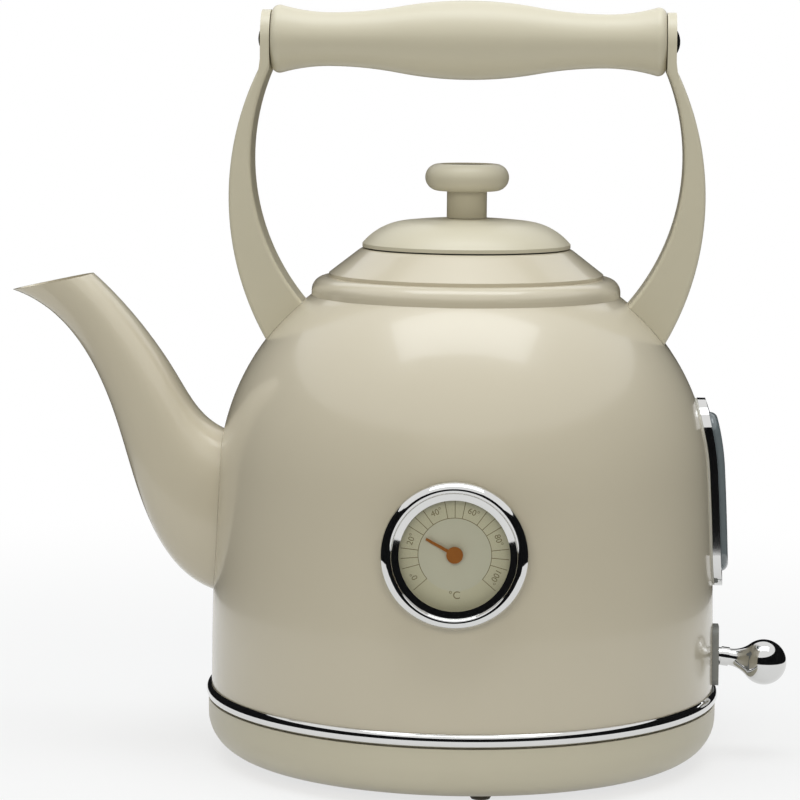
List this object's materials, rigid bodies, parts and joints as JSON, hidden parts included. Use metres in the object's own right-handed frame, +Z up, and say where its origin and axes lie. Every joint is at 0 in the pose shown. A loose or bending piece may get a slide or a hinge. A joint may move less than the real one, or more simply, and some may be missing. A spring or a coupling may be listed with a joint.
{
  "type": "electric kettle",
  "caption": "Cream dome-shaped cordless electric kettle with swan-neck spout, over-top grip, lift-off knobbed lid, temperature gauge, water window and ball-ended switch, on a power base.",
  "frame": {"origin": "on the table, under the middle of the kettle's box from the spout's tip to the switch's ball", "axes": "+Z up along the pot, the spout points to -X, the switch and the water window to +X, the gauge faces -Y and the cord outlet +Y"},
  "size_m": [0.2627, 0.1789, 0.253],
  "materials": {
    "body_paint": "cream gloss enamel on pressed steel",
    "cream_plastic": "cream moulded plastic, glossy",
    "cream_satin": "cream moulded plastic, satin",
    "chrome": "polished",
    "grey_plastic": "fine matt",
    "black_plastic": "matt",
    "smoked_lens": "smoked grey, moulded clear plastic",
    "clear_glass": "flat, clear",
    "silicone": "translucent grey",
    "dark_rubber": "matt olive brown",
    "steel": "plain",
    "brass": "plain",
    "aluminium": "rolled",
    "dial_face": "pale greenish cream, printed",
    "needle_paint": "copper brown"
  },
  "bodies": {
    "power_base": {"base_housing": "cream_plastic", "cord_gland": "dark_rubber", "base_plate": "grey_plastic", "base_screws": "steel", "base_feet": "dark_rubber", "connector_post": "black_plastic", "base_contacts": "brass"},
    "kettle": {"body_shell": "body_paint", "spout": "body_paint", "collar": "body_paint", "trim_ring": "chrome", "bottom_cover": "black_plastic", "cover_studs": "steel", "cover_screws": "steel", "floor_plate": "steel", "heat_plate": "aluminium", "heating_element": "steel", "control_unit": "black_plastic", "socket_contacts": "brass", "bimetal_discs": "steel", "steam_switch": "black_plastic", "steam_tube": "silicone", "steam_seal": "silicone", "handle_arm_right": "cream_plastic", "handle_arm_left": "cream_plastic", "arm_screws": "steel", "arm_washers": "silicone", "grip": "cream_satin", "grip_rod": "steel", "grip_screws": "chrome", "gauge_bezel": "chrome", "gauge_gasket": "silicone", "gauge_case": "black_plastic", "gauge_nut": "brass", "gauge_probe": "steel", "gauge_dial": "dial_face", "gauge_glass": "clear_glass", "gauge_coil": "brass", "window_frame": "chrome", "window_gasket": "silicone", "window_lens": "smoked_lens", "window_clamp": "grey_plastic", "lever_plate": "grey_plastic", "pivot_pin": "steel", "lever_bracket": "black_plastic"},
    "lid": {"lid_cap": "cream_satin", "lid_plug": "grey_plastic", "lid_seal": "silicone", "lid_knob": "cream_satin", "knob_cap": "body_paint", "lid_screw": "steel"},
    "switch": {"switch_lever": "chrome", "lever_rocker": "grey_plastic"},
    "needle": {"gauge_needle": "needle_paint", "gauge_spindle": "steel"}
  },
  "joints": [
    {"name": "kettle_lift", "type": "slide", "parent": "power_base", "child": "kettle", "axis": [0, 0, 1], "range_m": [0, 0.08]},
    {"name": "lid_lift", "type": "slide", "parent": "kettle", "child": "lid", "axis": [0, 0, 1], "range_m": [0, 0.026]},
    {"name": "switch_tilt", "type": "hinge", "parent": "kettle", "child": "switch", "pos_m": [0.09077, 0, 0.0363], "axis": [0, 1, 0], "range_deg": [0, 12]},
    {"name": "needle_turn", "type": "hinge", "parent": "kettle", "child": "needle", "pos_m": [0.02157, -0.08343, 0.0806], "axis": [0, 0.9991, -0.0419], "range_deg": [-57, 179], "stiffness_Nm_per_rad": 0.001}
  ]
}
